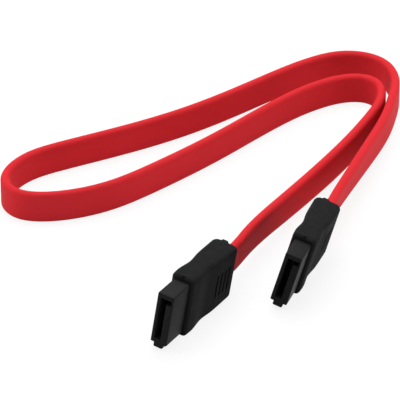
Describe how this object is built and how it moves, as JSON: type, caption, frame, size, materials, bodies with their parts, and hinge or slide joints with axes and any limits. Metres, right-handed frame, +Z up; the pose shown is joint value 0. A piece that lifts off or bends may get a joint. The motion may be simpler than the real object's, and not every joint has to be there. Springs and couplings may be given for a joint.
{
  "type": "sata data cable",
  "caption": "Flat flexible data cable lying on edge in loose loops, with a straight black keyed receptacle moulded on each end.",
  "frame": {"origin": "on the surface that the cable lies on, at the middle of the box around the two receptacles", "axes": "+Z up; +Y from the receptacles' mating faces towards the far loops of the cable, along the picture's line of sight; +X to the right of the picture"},
  "size_m": [0.0989, 0.1329, 0.016],
  "materials": {
    "boot_plastic": "satin moulded",
    "housing_plastic": "satin moulded",
    "contact_plating": "gold plated",
    "jacket_plastic": "satin extruded",
    "wire_insulation": "satin extruded",
    "tinned_copper": "drawn and tinned"
  },
  "bodies": {
    "root": {"front_boot": "boot_plastic", "front_inner_housing": "housing_plastic", "front_contact_1": "contact_plating", "front_contact_2": "contact_plating", "front_contact_3": "contact_plating", "front_contact_4": "contact_plating", "front_contact_5": "contact_plating", "front_contact_6": "contact_plating", "front_contact_7": "contact_plating", "back_boot": "boot_plastic", "back_inner_housing": "housing_plastic", "back_contact_1": "contact_plating", "back_contact_2": "contact_plating", "back_contact_3": "contact_plating", "back_contact_4": "contact_plating", "back_contact_5": "contact_plating", "back_contact_6": "contact_plating", "back_contact_7": "contact_plating", "cable_jacket": "jacket_plastic", "ground_wire_1": "tinned_copper", "ground_wire_2": "tinned_copper", "ground_wire_3": "tinned_copper", "signal_wire_1": "wire_insulation", "signal_wire_2": "wire_insulation", "signal_wire_3": "wire_insulation", "signal_wire_4": "wire_insulation"}
  },
  "joints": []
}
